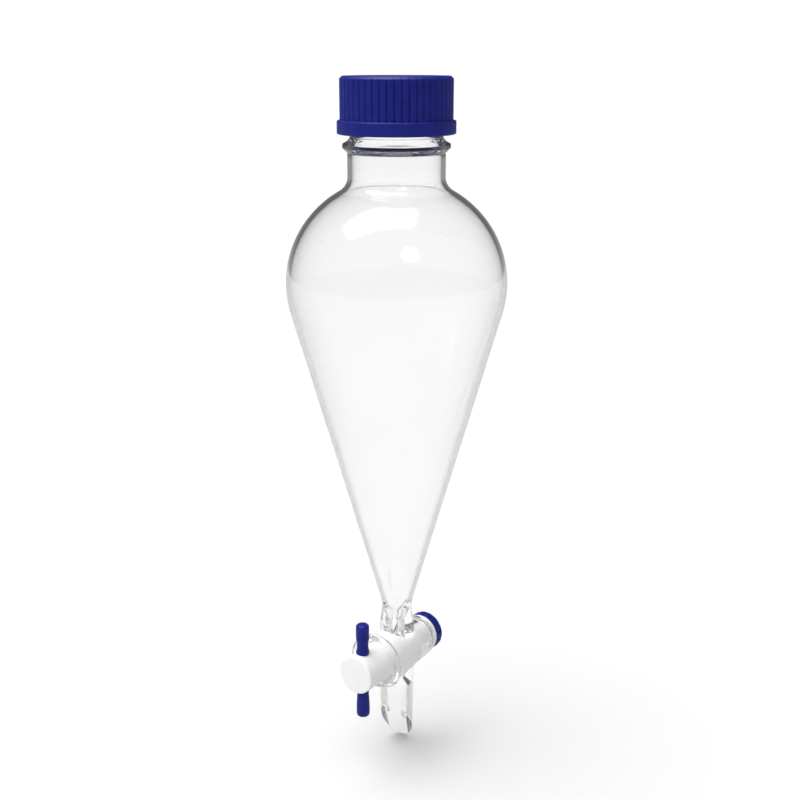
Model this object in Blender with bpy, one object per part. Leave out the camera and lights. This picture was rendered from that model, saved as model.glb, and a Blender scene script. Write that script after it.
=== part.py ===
"""Separatory funnel: pear-shaped glass body with a screw cap and a tapered PTFE stopcock.

The origin is on the funnel's axis, at the height of the stem's lowest point. +Z is up.
The stopcock's axis is parallel to Y: the handle is at -Y and the tension nut at +Y.
Lengths in the constants are in millimetres and become metres in the mesh helpers.
"""

import math

import bmesh
import bpy
from mathutils import Matrix, Vector

MM = 0.001
TAU = 2 * math.pi

# Driving dimensions of the glass body, in millimetres.
WALL = 2.1
BULB_RADIUS = 51.49
BULB_HEIGHT = 241.93
BULB_RISE = 49.2
CONE_HALF_ANGLE = math.radians(15.88)
CONE_APEX_HEIGHT = BULB_HEIGHT - BULB_RADIUS / math.sin(CONE_HALF_ANGLE)
NECK_RADIUS = 22.4
SHOULDER_FILLET = 7.5
BEAD_RADIUS = 24.7
BEAD_HEIGHT = 304.7
MOUTH_RADIUS = 21.2
MOUTH_BORE = 17.4
MOUTH_TOP = 331.0
DRIP_RADIUS = 7.4
DRIP_HEIGHT = 78.8
PORT_BORE = 2.5
STEM_RADIUS = 8.5
STEM_BORE = 5.0
TIP_RADIUS = 7.3
TIP_BORE = 4.8
TIP_CUT_HEIGHT = 12.1
TIP_CUT_SLOPE = 1.66
TIP_CUT_DIRECTION = math.radians(104)

# Thread of the mouth and of the cap: GL45, 4 mm pitch, right-handed.
THREAD_PITCH = 4.0
THREAD_RADIUS = 22.5
THREAD_TURNS = 1.6
THREAD_START = 314.5
THREAD_HALF_WIDTH = 0.95
THREAD_ROOT_DEPTH = 0.9
THREAD_RUN_OUT = 0.1
THREAD_GAP = 0.35

# Stopcock, measured along its axis from the funnel's axis: negative is the handle's side.
COCK_HEIGHT = 53.1
BARREL_FRONT = -18.7
BARREL_BACK = 19.6
BARREL_RADIUS = 11.9
BARREL_SLOPE = 0.07
LIP_RADIUS = 14.8
LIP_BORE = 12.0
LIP_LENGTH = 4.0
TAPER_RADIUS = 7.8
TAPER_SLOPE = 0.1
TAPER_GAP = 0.07
PLUG_FRONT = -34.7
PLUG_HEAD_END = -17.6
PLUG_HEAD_RADIUS = 9.5
PLUG_BORE = 2.0
TAIL_RADIUS = 4.9
TAIL_FLAT = 3.9
TAIL_END = 28.6

# Handle: a waisted bar through the plug's head.
HANDLE_PLACE = -28.6
HANDLE_TOP = 25.1
HANDLE_FOOT = 24.5
HANDLE_RADIUS = 3.25
HANDLE_WAIST = 2.75
HANDLE_SHANK = 2.7
HANDLE_HOLE_GAP = 0.08

# Washer, O-ring and nut behind the barrel.
WASHER_RADIUS = 9.6
WASHER_FRONT = 19.7
WASHER_BACK = 22.2
NUT_FRONT = 22.3
NUT_RIM_BACK = 27.0
NUT_BACK = 29.0
NUT_RIM_RADIUS = 9.8
NUT_BOSS_RADIUS = 7.4
NUT_RECESS_RADIUS = 7.6
NUT_RECESS_DEPTH = 2.2
O_RING_RADIUS = 6.15
O_RING_SECTION = 0.95
RUN_GAP = 0.15

# Cap and liner.
CAP_TOP = 335.2
CAP_BOTTOM = 309.8
CAP_RADIUS = 25.65
CAP_FLANGE_RADIUS = 27.0
CAP_FLANGE_TOP = 315.9
CAP_CEILING = 333.2
CAP_BORE = 22.95
CAP_RIBS = 48
CAP_RIB_DEPTH = 0.55
LINER_RADIUS = 22.2
LINER_GAP = 0.08
FACING_THICKNESS = 0.45

BODY_SIDES = 40
SMALL_SIDES = 28
THREAD_SIDES = 32
SMOOTH_ANGLE = math.radians(32)


def material(name, colour, roughness, transmission=0.0):
    made = bpy.data.materials.new(name)
    made.use_nodes = True
    shader = made.node_tree.nodes["Principled BSDF"]
    shader.inputs["Base Color"].default_value = (*colour, 1.0)
    shader.inputs["Roughness"].default_value = roughness
    shader.inputs["Metallic"].default_value = 0.0
    shader.inputs["Transmission Weight"].default_value = transmission
    return made


def new_object(name, mesh, look):
    made = bpy.data.objects.new(name, mesh)
    bpy.context.scene.collection.objects.link(made)
    mesh.materials.append(look)
    return made


def arc(centre, radius, start, end, steps):
    """Points of a circle's arc as (r, z), from one angle to another in degrees."""
    angles = [math.radians(start + (end - start) * i / steps) for i in range(steps + 1)]
    return [(centre[0] + radius * math.cos(a), centre[1] + radius * math.sin(a)) for a in angles]


def turned(name, profile, look, sides=BODY_SIDES):
    """A solid of revolution about Z. The profile is closed on itself, or starts and ends on the axis."""
    mesh = bpy.data.meshes.new(name)
    shape = bmesh.new()
    rings = []
    for radius, height in profile:
        if radius < 1e-6:
            rings.append([shape.verts.new((0, 0, height * MM))])
            continue
        angles = [TAU * i / sides for i in range(sides)]
        ring = [(radius * math.cos(a) * MM, radius * math.sin(a) * MM, height * MM) for a in angles]
        rings.append([shape.verts.new(point) for point in ring])
    on_axis = len(rings[0]) == 1
    pairs = zip(rings, rings[1:]) if on_axis else zip(rings, rings[1:] + rings[:1])
    for low, high in pairs:
        for i in range(sides):
            j = (i + 1) % sides
            corners = [low[i % len(low)], low[j % len(low)], high[j % len(high)], high[i % len(high)]]
            shape.faces.new(list(dict.fromkeys(corners)))
    bmesh.ops.recalc_face_normals(shape, faces=shape.faces)
    finish_mesh(shape, mesh)
    return new_object(name, mesh, look)


def finish_mesh(shape, mesh):
    shape.to_mesh(mesh)
    shape.free()
    mesh.shade_smooth()
    mesh.set_sharp_from_angle(angle=SMOOTH_ANGLE)


def thread_ridge(name, radius, reach, start, look):
    """A helical ridge on a round wall, to be joined to it. It stands out where reach is positive and in where
    it is negative, has its root inside the wall, and sinks into the wall at both ends.
    """
    mesh = bpy.data.meshes.new(name)
    shape = bmesh.new()
    root = radius - math.copysign(THREAD_ROOT_DEPTH, reach)
    steps = int(THREAD_TURNS * THREAD_SIDES)
    rings = []
    for i in range(steps + 1):
        part = i / steps
        growth = min(1.0, part / THREAD_RUN_OUT - 0.4, (1 - part) / THREAD_RUN_OUT - 0.4)
        crest = radius + reach * growth
        turn = TAU * THREAD_TURNS * part
        height = start + THREAD_PITCH * THREAD_TURNS * part
        wide = THREAD_HALF_WIDTH
        section = [(root, -wide), (crest, -wide * 0.35), (crest, wide * 0.35), (root, wide)]
        places = [(r * math.cos(turn), r * math.sin(turn), height + along) for r, along in section]
        rings.append([shape.verts.new(Vector(place) * MM) for place in places])
    for low, high in zip(rings, rings[1:]):
        for i in range(4):
            j = (i + 1) % 4
            shape.faces.new((low[i], low[j], high[j], high[i]))
    shape.faces.new(rings[0])
    shape.faces.new(rings[-1])
    bmesh.ops.recalc_face_normals(shape, faces=shape.faces)
    finish_mesh(shape, mesh)
    return new_object(name, mesh, look)


def combine(target, other, operation):
    """Joins or cuts the target with another object, which becomes a hidden helper."""
    change = target.modifiers.new(operation.title() + " " + other.name, "BOOLEAN")
    change.operation = operation
    change.solver = "EXACT"
    change.object = other
    other.hide_render = True
    other.display_type = "WIRE"


def lay_along_y(thing, height=COCK_HEIGHT):
    """Turns an object built about Z so that its +Z points along +Y, on the stopcock's axis."""
    thing.matrix_world = Matrix.Translation((0, 0, height * MM)) @ Matrix.Rotation(-math.pi / 2, 4, "X")


def neck_curve(offset):
    """(r, z) of the glass from the cone to the neck, at a distance inside the outer surface.

    Below its widest place the bulb is part of a sphere, above it part of an ellipse.
    """
    wide, tall = BULB_RADIUS - offset, BULB_RISE - offset
    fillet = SHOULDER_FILLET + offset
    turn_r = NECK_RADIUS - offset + fillet
    low, high = 0.0, math.pi / 2
    while high - low > 1e-9:  # where the fillet touches the ellipse
        end = (low + high) / 2
        lean = math.atan2(math.sin(end) / tall, math.cos(end) / wide)
        low, high = (end, high) if wide * math.cos(end) + fillet * math.cos(lean) > turn_r else (low, end)
    turn_z = BULB_HEIGHT + tall * math.sin(end) + fillet * math.sin(lean)
    curve = arc((0.0, BULB_HEIGHT), wide, -math.degrees(CONE_HALF_ANGLE), 0, 4)
    steps = 9
    for i in range(1, steps + 1):
        angle = end * i / steps
        curve.append((wide * math.cos(angle), BULB_HEIGHT + tall * math.sin(angle)))
    lean = math.degrees(lean)
    return curve + arc((turn_r, turn_z), fillet, 180 + lean, 180, 4)[1:]


def cone_radius(height, offset=0.0):
    return (height - CONE_APEX_HEIGHT) * math.tan(CONE_HALF_ANGLE) - offset / math.cos(CONE_HALF_ANGLE)


def glass_outside():
    below = [
        (0.0, -12.0),
        (TIP_RADIUS, -12.0),
        (TIP_RADIUS, 0.0),
        (TIP_RADIUS + 0.75, 14.0),
        (STEM_RADIUS, 27.0),
        (STEM_RADIUS, 46.0),
        (STEM_RADIUS + 0.4, 66.0),
        (STEM_RADIUS - 0.3, 70.0),
        (DRIP_RADIUS + 0.2, 74.5),
        (DRIP_RADIUS, DRIP_HEIGHT),
        (cone_radius(DRIP_HEIGHT + 3.5), DRIP_HEIGHT + 3.5),
    ]
    bead = [
        (NECK_RADIUS, BEAD_HEIGHT - 3.1),
        (BEAD_RADIUS - 0.4, BEAD_HEIGHT - 0.7),
        (BEAD_RADIUS, BEAD_HEIGHT),
        (BEAD_RADIUS - 0.4, BEAD_HEIGHT + 0.7),
        (MOUTH_RADIUS, BEAD_HEIGHT + 3.3),
    ]
    rim = arc((MOUTH_RADIUS - 1.6, MOUTH_TOP - 1.6), 1.6, 0, 90, 3)
    return below + neck_curve(0.0) + bead + rim + [(0.0, MOUTH_TOP)]


def glass_inside():
    below = [
        (0.0, 60.0),
        (PORT_BORE, 60.0),
        (PORT_BORE, 70.5),
        (PORT_BORE + 0.9, 73.5),
        (4.6, 77.5),
        (cone_radius(DRIP_HEIGHT + 3.5, WALL), DRIP_HEIGHT + 3.5),
    ]
    mouth = [(MOUTH_BORE + 0.4, BEAD_HEIGHT + 1.5), (MOUTH_BORE, BEAD_HEIGHT + 5.0)]
    return below + neck_curve(WALL) + [(NECK_RADIUS - WALL, BEAD_HEIGHT - 3.0)] + mouth + [
        (MOUTH_BORE, MOUTH_TOP + 1.0),
        (0.0, MOUTH_TOP + 1.0),
    ]


def barrel_outside():
    front = BARREL_FRONT
    neck = front + LIP_LENGTH
    return [
        (0.0, front),
        (LIP_BORE + 0.8, front),
        (LIP_RADIUS, front + 0.9),
        (LIP_RADIUS - 0.2, front + 1.8),
        (BARREL_RADIUS - BARREL_SLOPE * neck + 0.3, neck - 0.6),
        (BARREL_RADIUS - BARREL_SLOPE * (neck + 1), neck + 1),
        (BARREL_RADIUS - BARREL_SLOPE * (BARREL_BACK - 1), BARREL_BACK - 1),
        (BARREL_RADIUS - BARREL_SLOPE * BARREL_BACK - 0.9, BARREL_BACK),
        (0.0, BARREL_BACK),
    ]


def taper(place, gap=0.0):
    return TAPER_RADIUS - TAPER_SLOPE * place - gap


def make_glass(look):
    glass = turned("glass_body", glass_outside(), look)
    barrel = turned("barrel_outside", barrel_outside(), look, SMALL_SIDES)
    lay_along_y(barrel)
    combine(glass, barrel, "UNION")

    reach = THREAD_RADIUS - MOUTH_RADIUS
    combine(glass, thread_ridge("mouth_thread", MOUTH_RADIUS, reach, THREAD_START, look), "UNION")

    combine(glass, turned("inside", glass_inside(), look), "DIFFERENCE")
    mouth = BARREL_FRONT + LIP_LENGTH
    bore = [
        (0.0, BARREL_FRONT - 1),
        (LIP_BORE + 0.4, BARREL_FRONT - 1),
        (LIP_BORE, BARREL_FRONT + 0.8),
        (taper(mouth), mouth),
        (taper(BARREL_BACK + 1), BARREL_BACK + 1),
        (0.0, BARREL_BACK + 1),
    ]
    barrel_bore = turned("barrel_bore", bore, look, SMALL_SIDES)
    lay_along_y(barrel_bore)
    combine(glass, barrel_bore, "DIFFERENCE")
    stem = [
        (0.0, -20.0),
        (TIP_BORE, -20.0),
        (TIP_BORE, 10.0),
        (STEM_BORE, 24.0),
        (STEM_BORE, 34.0),
        (PORT_BORE, 39.0),
        (PORT_BORE, 48.0),
        (0.0, 48.0),
    ]
    combine(glass, turned("stem_bore", stem, look), "DIFFERENCE")
    combine(glass, tip_cutter(look), "DIFFERENCE")
    return glass


def tip_cutter(look):
    """A block whose top face is the plane of the stem's bevel."""
    mesh = bpy.data.meshes.new("tip_cutter")
    shape = bmesh.new()
    bmesh.ops.create_cube(shape, size=60 * MM)
    finish_mesh(shape, mesh)
    block = new_object("tip_cutter", mesh, look)
    normal = Vector((
        math.cos(TIP_CUT_DIRECTION) * TIP_CUT_SLOPE,
        math.sin(TIP_CUT_DIRECTION) * TIP_CUT_SLOPE,
        1.0,
    )).normalized()
    turn = normal.to_track_quat("Z", "Y").to_matrix().to_4x4()
    centre = Vector((0, 0, TIP_CUT_HEIGHT * MM)) - normal * 30 * MM
    block.matrix_world = Matrix.Translation(centre) @ turn
    return block


def make_plug(look):
    """The PTFE plug: head, taper, cross bore, handle hole and threaded tail with a flat."""
    head = PLUG_HEAD_END
    mouth = BARREL_FRONT + LIP_LENGTH
    end = BARREL_BACK - 0.6
    profile = [
        (0.0, PLUG_FRONT),
        (PLUG_HEAD_RADIUS - 0.5, PLUG_FRONT),
        (PLUG_HEAD_RADIUS, PLUG_FRONT + 0.5),
        (PLUG_HEAD_RADIUS, head),
        (taper(mouth, TAPER_GAP), head + 0.4),
        (taper(mouth, TAPER_GAP), mouth),
        (taper(end, TAPER_GAP), end),
        (TAIL_RADIUS, end),
        (TAIL_RADIUS, TAIL_END - 0.6),
        (TAIL_RADIUS - 0.6, TAIL_END),
        (0.0, TAIL_END),
    ]
    plug = turned("stopcock_plug", profile, look, SMALL_SIDES)
    lay_along_y(plug)
    cross = turned("cross_bore", rod(PLUG_BORE, -14, 14), look, 20)
    cross.location = (0, 0, COCK_HEIGHT * MM)
    combine(plug, cross, "DIFFERENCE")
    hole = turned("handle_hole", rod(HANDLE_SHANK + HANDLE_HOLE_GAP, -14, 14), look, 24)
    hole.location = (0, HANDLE_PLACE * MM, COCK_HEIGHT * MM)
    combine(plug, hole, "DIFFERENCE")
    combine(plug, flat_cutter("tail_flat", TAIL_FLAT, BARREL_BACK - 0.2, TAIL_END + 2, look), "DIFFERENCE")
    return plug


def rod(radius, low, high):
    return [(0.0, low), (radius, low), (radius, high), (0.0, high)]


def flat_cutter(name, height, start, end, look):
    """A block above the tail's flat, between two places along the stopcock's axis."""
    mesh = bpy.data.meshes.new(name)
    shape = bmesh.new()
    bmesh.ops.create_cube(shape, size=1.0)
    bmesh.ops.scale(shape, vec=Vector((14, end - start, 6)) * MM, verts=shape.verts)
    middle = Vector((0, (start + end) / 2, COCK_HEIGHT + height + 3)) * MM
    bmesh.ops.translate(shape, vec=middle, verts=shape.verts)
    finish_mesh(shape, mesh)
    return new_object(name, mesh, look)


def make_handle(look):
    """The bar through the plug's head: domed ends, a narrower waist and a foot that rests on the head."""
    foot, top = HANDLE_FOOT, HANDLE_TOP
    dome = HANDLE_RADIUS * 0.6
    head = PLUG_HEAD_RADIUS + 0.1
    low = [
        (0.0, -foot),
        (HANDLE_RADIUS * 0.6, -foot + 0.3),
        (HANDLE_RADIUS * 0.92, -foot + 1.0),
        (HANDLE_RADIUS, -foot + dome),
        (HANDLE_RADIUS, -foot + 5.0),
        (HANDLE_WAIST, -foot + 9.0),
        (HANDLE_SHANK, -head),
    ]
    high = [
        (HANDLE_SHANK, head),
        (HANDLE_RADIUS, head + 0.2),
        (HANDLE_RADIUS, head + 1.4),
        (HANDLE_WAIST, head + 2.8),
        (HANDLE_WAIST, top - 9.0),
        (HANDLE_RADIUS, top - 7.0),
        (HANDLE_RADIUS, top - dome),
        (HANDLE_RADIUS * 0.92, top - 1.0),
        (HANDLE_RADIUS * 0.6, top - 0.3),
        (0.0, top),
    ]
    handle = turned("handle", low + high, look, 20)
    handle.location = (0, HANDLE_PLACE * MM, COCK_HEIGHT * MM)


def make_washer(look):
    bore = TAIL_RADIUS + RUN_GAP
    profile = [
        (bore, WASHER_FRONT),
        (WASHER_RADIUS - 0.4, WASHER_FRONT),
        (WASHER_RADIUS, WASHER_FRONT + 0.4),
        (WASHER_RADIUS, WASHER_BACK - 0.4),
        (WASHER_RADIUS - 0.4, WASHER_BACK),
        (bore, WASHER_BACK),
    ]
    washer = turned("thrust_washer", profile, look, SMALL_SIDES)
    lay_along_y(washer)
    key_low = TAIL_FLAT + RUN_GAP
    thick = WASHER_BACK - WASHER_FRONT
    mesh = bpy.data.meshes.new("washer_key")
    shape = bmesh.new()
    bmesh.ops.create_cube(shape, size=1.0)
    bmesh.ops.scale(shape, vec=Vector((7.6, thick - 0.2, 2.0)) * MM, verts=shape.verts)
    middle = Vector((0, (WASHER_FRONT + WASHER_BACK) / 2, COCK_HEIGHT + key_low + 1.0)) * MM
    bmesh.ops.translate(shape, vec=middle, verts=shape.verts)
    finish_mesh(shape, mesh)
    combine(washer, new_object("washer_key", mesh, look), "UNION")


def make_o_ring(look):
    centre = (O_RING_RADIUS, NUT_FRONT + 0.1 + O_RING_SECTION)
    ring = turned("o_ring", arc(centre, O_RING_SECTION, 0, 324, 9), look, SMALL_SIDES)
    lay_along_y(ring)


def make_nut(look):
    """The tension nut: a fluted rim, a recess for the O-ring in front and a boss behind."""
    bore = TAIL_RADIUS + RUN_GAP
    floor = NUT_FRONT + NUT_RECESS_DEPTH
    profile = [
        (bore, floor),
        (NUT_RECESS_RADIUS, floor),
        (NUT_RECESS_RADIUS, NUT_FRONT),
        (NUT_RIM_RADIUS - 0.4, NUT_FRONT),
        (NUT_RIM_RADIUS, NUT_FRONT + 0.4),
        (NUT_RIM_RADIUS, NUT_RIM_BACK - 0.5),
        (NUT_RIM_RADIUS - 0.5, NUT_RIM_BACK),
        (NUT_BOSS_RADIUS, NUT_RIM_BACK),
        (NUT_BOSS_RADIUS - 0.3, NUT_BACK),
        (bore, NUT_BACK),
    ]
    nut = turned("tension_nut", profile, look, SMALL_SIDES)
    lay_along_y(nut)


def ribbed_ring(shape, radius, height, depth):
    """A ring of points that goes in and out once for each rib."""
    points = []
    for i in range(2 * CAP_RIBS):
        angle = math.pi * i / CAP_RIBS
        r = radius - depth * (i % 2)
        points.append(shape.verts.new(Vector((r * math.cos(angle), r * math.sin(angle), height)) * MM))
    return points


def make_cap(look):
    mesh = bpy.data.meshes.new("screw_cap")
    shape = bmesh.new()
    outer = [
        (CAP_FLANGE_RADIUS, CAP_BOTTOM, 0.0),
        (CAP_FLANGE_RADIUS, CAP_FLANGE_TOP, 0.0),
        (CAP_RADIUS, CAP_FLANGE_TOP + 0.1, CAP_RIB_DEPTH),
        (CAP_RADIUS, CAP_TOP - 1.2, CAP_RIB_DEPTH),
        (CAP_RADIUS - 1.2, CAP_TOP, 0.0),
    ]
    rings = [ribbed_ring(shape, *row) for row in outer]
    count = len(rings[0])
    for low, high in zip(rings, rings[1:]):
        for i in range(count):
            j = (i + 1) % count
            shape.faces.new((low[i], low[j], high[j], high[i]))
    shape.faces.new(rings[0])
    shape.faces.new(rings[-1])
    bmesh.ops.recalc_face_normals(shape, faces=shape.faces)
    finish_mesh(shape, mesh)
    cap = new_object("screw_cap", mesh, look)
    combine(cap, turned("cap_bore", rod(CAP_BORE, CAP_BOTTOM - 2, CAP_CEILING), look), "DIFFERENCE")

    reach = CAP_BORE - MOUTH_RADIUS - THREAD_GAP
    start = THREAD_START - THREAD_PITCH / 2
    combine(cap, thread_ridge("cap_thread", CAP_BORE, -reach, start, look), "UNION")


def make_liner(silicone, ptfe):
    face_low = MOUTH_TOP + LINER_GAP
    face_high = face_low + FACING_THICKNESS
    turned("liner_facing", rod(LINER_RADIUS, face_low, face_high), ptfe)
    turned("liner_disc", rod(LINER_RADIUS, face_high + LINER_GAP, CAP_CEILING - LINER_GAP), silicone)


def main():
    for thing in list(bpy.data.objects):
        bpy.data.objects.remove(thing)
    glass = material("borosilicate", (0.93, 0.95, 0.96), 0.02, 1.0)
    blue = material("blue_polypropylene", (0.02, 0.03, 0.28), 0.35)
    ptfe = material("ptfe", (0.86, 0.87, 0.87), 0.45)
    silicone = material("silicone", (0.72, 0.70, 0.64), 0.6)
    rubber = material("black_rubber", (0.02, 0.02, 0.02), 0.6)
    make_glass(glass)
    make_cap(blue)
    make_liner(silicone, ptfe)
    make_plug(ptfe)
    make_handle(blue)
    make_washer(ptfe)
    make_o_ring(rubber)
    make_nut(blue)


main()
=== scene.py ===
import math

import bmesh
import bpy
import numpy as np
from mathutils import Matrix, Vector


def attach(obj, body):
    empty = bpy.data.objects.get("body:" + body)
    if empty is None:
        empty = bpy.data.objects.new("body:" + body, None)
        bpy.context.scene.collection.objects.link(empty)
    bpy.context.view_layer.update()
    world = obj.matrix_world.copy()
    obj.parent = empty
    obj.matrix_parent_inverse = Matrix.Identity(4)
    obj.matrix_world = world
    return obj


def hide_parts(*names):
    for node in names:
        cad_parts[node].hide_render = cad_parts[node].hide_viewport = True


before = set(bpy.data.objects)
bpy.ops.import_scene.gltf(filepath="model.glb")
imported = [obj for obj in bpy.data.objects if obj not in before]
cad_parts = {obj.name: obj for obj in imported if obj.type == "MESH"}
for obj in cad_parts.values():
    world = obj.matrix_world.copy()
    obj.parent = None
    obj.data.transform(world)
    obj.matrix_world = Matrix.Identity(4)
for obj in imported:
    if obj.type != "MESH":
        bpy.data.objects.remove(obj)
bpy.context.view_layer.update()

MM = 0.001
TAU = 2 * math.pi

# All lengths here are in millimetres. The stem's lowest point is at height 0.

# The glass from the cone up. The bulb is a sphere below its middle and an ellipse above it.
WALL = 2.1
BULB_RADIUS = 51.49
BULB_HEIGHT = 241.93
BULB_RISE = 49.2
CONE_HALF = math.radians(15.88)
CONE_APEX = BULB_HEIGHT - BULB_RADIUS / math.sin(CONE_HALF)
SHOULDER_FILLET = 7.5
NECK_RADIUS = 22.4
BEAD_RADIUS = 24.65
BEAD_HEIGHT = 304.7
MOUTH_RADIUS = 21.2
MOUTH_BORE = 17.4
MOUTH_TOP = 331.0
UPPER_SIDES = 144
ROW_GAP = 2.5  # the longest step between rows on plain walls

# The glass from the cone's foot down.
STEM_RADIUS = 8.5
STEM_BORE = 5.0
DRIP_BORE = 2.5
NET_LOW, NET_HIGH = (-16.4, -20.2), (16.4, 21.2)  # the surface net's reach across
NET_FOOT = -0.92
TIP_STEP, STEM_STEP = 0.33, 0.5  # the cells of the fine and the coarse net
NET_GAP = 0.3  # between the two nets, closed by triangles
JOIN_HEIGHT = 86.0  # turned rows above, a surface net below
TIP_ZONE = 27.3  # the net is finer below this height
TIP_CUT_HEIGHT = 11.73
TIP_CUT_SLOPE = 1.66
TIP_CUT_DIRECTION = math.radians(104)

# How widely the glass's creases are rounded.
WELD_ROUNDING = 1.1
LIP_ROUNDING = 1.1
BACK_ROUNDING = 1.0
BORE_ROUNDING = 0.3
MOUTH_ROUNDING = 0.5
TIP_ROUNDING = 0.45

# The thread between mouth and cap.
THREAD_PITCH = 4.0
THREAD_TURNS = 1.6
THREAD_START = 314.5
THREAD_HALF = 0.95
THREAD_RUN_OUT = 0.14  # of a turn, at each end
THREAD_FOOT, THREAD_TOP = 313.0, 322.5  # the finer rows on the mouth lie between these
THREAD_ROW, THREAD_ROWS = 0.25, 36
MOUTH_RIDGE, CAP_RIDGE = 1.28, 1.33  # how far each ridge stands out

# The cap and its liner.
CAP_RIBS = 48
RIB_DEPTH = 0.55
CAP_FOOT = 309.8
CAP_TOP = 335.2
CAP_RADIUS = 25.65
CAP_BORE = 22.95
CAP_MOUTH = 23.4
CAP_CEILING = 333.2
FLANGE_RADIUS = 27.0
FLANGE_TOP = 315.95
LINER_RADIUS = 22.2

# The stopcock, along its axis: the handle's side is negative.
COCK = 53.1
BARREL_FRONT = -18.7
BARREL_BACK = 19.6
TAPER_RADIUS = 7.8
TAPER_SLOPE = 0.1
TAPER_FRONT = -14.7
SEAT = 0.03  # how far the soft plug presses into the glass taper
SEAT_FRONT, SEAT_END = -14.2, 8.6
PLUG_GAP = 0.07  # between the taper and the plug behind its seat
HEAD_FRONT = -34.7
HEAD_RADIUS = 9.5
HANDLE_PLACE = -28.6
TAIL_RADIUS = 4.9
TAIL_FOOT, TAIL_END = 19.0, 28.6
TAIL_FLAT = 4.05  # the washer's flat from the axis
TAIL_PITCH = 1.5  # the nut travels this far in one turn
TAIL_GROOVE, NUT_GROOVE = 0.32, 0.25
PLUG_BORE = 2.0
HANDLE_HOLE = 2.78
WASHER_RADIUS = 9.6
WASHER_FRONT, WASHER_BACK = 19.7, 22.2
NUT_BORE = 5.05
NUT_RADIUS = 9.8
NUT_FRONT, NUT_BACK = 22.3, 29.0
NUT_FLUTES = 14
FLUTE_DEPTH = 0.5
ROUND_SIDES = 128


# ---------------------------------------------------------------- outlines

def arc(centre, radius, start, end, steps):
    """Points along an arc, from a start to an end in degrees."""
    angles = [math.radians(start + (end - start) * i / steps) for i in range(steps + 1)]
    return [(centre[0] + radius * math.cos(a), centre[1] + radius * math.sin(a)) for a in angles]


def rounded(corners, closed=False, step=12.0):
    """An outline through (r, z, fillet) corners, with each corner rounded to its fillet."""
    points = []
    count = len(corners)
    for i, (r, z, fillet) in enumerate(corners):
        here = Vector((r, z))
        ends = not closed and i in (0, count - 1)
        if ends or fillet <= 0:
            points.append((r, z))
            continue
        back = Vector(corners[i - 1][:2]) - here
        ahead = Vector(corners[(i + 1) % count][:2]) - here
        turn = math.pi - back.angle(ahead)
        if turn < 1e-3:
            points.append((r, z))
            continue
        reach = min(fillet * math.tan(turn / 2), 0.48 * back.length, 0.48 * ahead.length)
        radius = reach / math.tan(turn / 2)
        start = here + back.normalized() * reach
        stop = here + ahead.normalized() * reach
        middle = here + (back.normalized() + ahead.normalized()).normalized() * radius / math.cos(turn / 2)
        steps = max(2, math.ceil(math.degrees(turn) / step))
        first = math.atan2(start.y - middle.y, start.x - middle.x)
        sweep = math.atan2(stop.y - middle.y, stop.x - middle.x) - first
        sweep -= TAU * round(sweep / TAU)
        for k in range(steps + 1):
            spot = first + sweep * k / steps
            points.append((middle.x + radius * math.cos(spot), middle.y + radius * math.sin(spot)))
    return points


def split_long(points, longest, closed=False):
    """The same outline with extra points wherever two are further apart than the longest step."""
    out = []
    pairs = list(zip(points, points[1:] + points[:1])) if closed else list(zip(points, points[1:]))
    for a, b in pairs:
        parts = max(1, math.ceil(math.dist(a, b) / longest))
        out += [(a[0] + (b[0] - a[0]) * k / parts, a[1] + (b[1] - a[1]) * k / parts) for k in range(parts)]
    return out if closed else out + [points[-1]]


# ---------------------------------------------------------------- meshes

def turned_points(rows, sides, change=None):
    """Rings of points about Z, one per (r, z) row. change(angles, r, z) may return other radii."""
    angles = np.arange(sides) * TAU / sides
    rings = np.zeros((len(rows), sides, 3))
    for i, (r, z) in enumerate(rows):
        radii = np.full(sides, float(r)) if change is None or r < 1e-6 else change(angles, r, z)
        rings[i, :, 0] = radii * np.cos(angles)
        rings[i, :, 1] = radii * np.sin(angles)
        rings[i, :, 2] = z
    return rings


def ring_faces(count, sides, closed=False, first=0):
    """Quads between rings of points. closed joins the last ring to the first."""
    rows = count if closed else count - 1
    faces = []
    for i in range(rows):
        low, high = first + i * sides, first + (i + 1) % count * sides
        for j in range(sides):
            k = (j + 1) % sides
            faces.append((low + j, low + k, high + k, high + j))
    return faces


def make_piece(name, points, faces, look=None, body=None, slot=None, node=None, sharp=40.0, along_y=False):
    """A piece from points in millimetres. along_y lays a shape built about Z on the stopcock's axis."""
    points = np.asarray(points, float).reshape(-1, 3)
    if along_y:
        points = np.stack([points[:, 0], points[:, 2], COCK - points[:, 1]], 1)
    mesh = bpy.data.meshes.new(name)
    mesh.from_pydata((points * MM).tolist(), [], faces)
    work = bmesh.new()
    work.from_mesh(mesh)
    bmesh.ops.remove_doubles(work, verts=work.verts, dist=1e-7)
    bmesh.ops.dissolve_degenerate(work, edges=work.edges, dist=1e-8)
    loose = [edge for edge in work.edges if not edge.link_faces]
    bmesh.ops.delete(work, geom=loose, context="EDGES")
    bmesh.ops.recalc_face_normals(work, faces=work.faces)
    work.to_mesh(mesh)
    work.free()
    mesh.shade_smooth()
    if sharp:
        mesh.set_sharp_from_angle(angle=math.radians(sharp))
    piece = bpy.data.objects.new(name, mesh)
    bpy.context.scene.collection.objects.link(piece)
    if look is not None:
        mesh.materials.append(look)
    if body:
        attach(piece, body)
    if node:
        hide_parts(node)
    return piece


def turned_piece(name, rows, sides, *what, change=None, closed=False, **rest):
    """A piece turned from (r, z) rows. what is its look, body, slot and node; the slot is not used."""
    points = turned_points(rows, sides, change)
    return make_piece(name, points, ring_faces(len(rows), sides, closed), *what, **rest)


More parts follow.
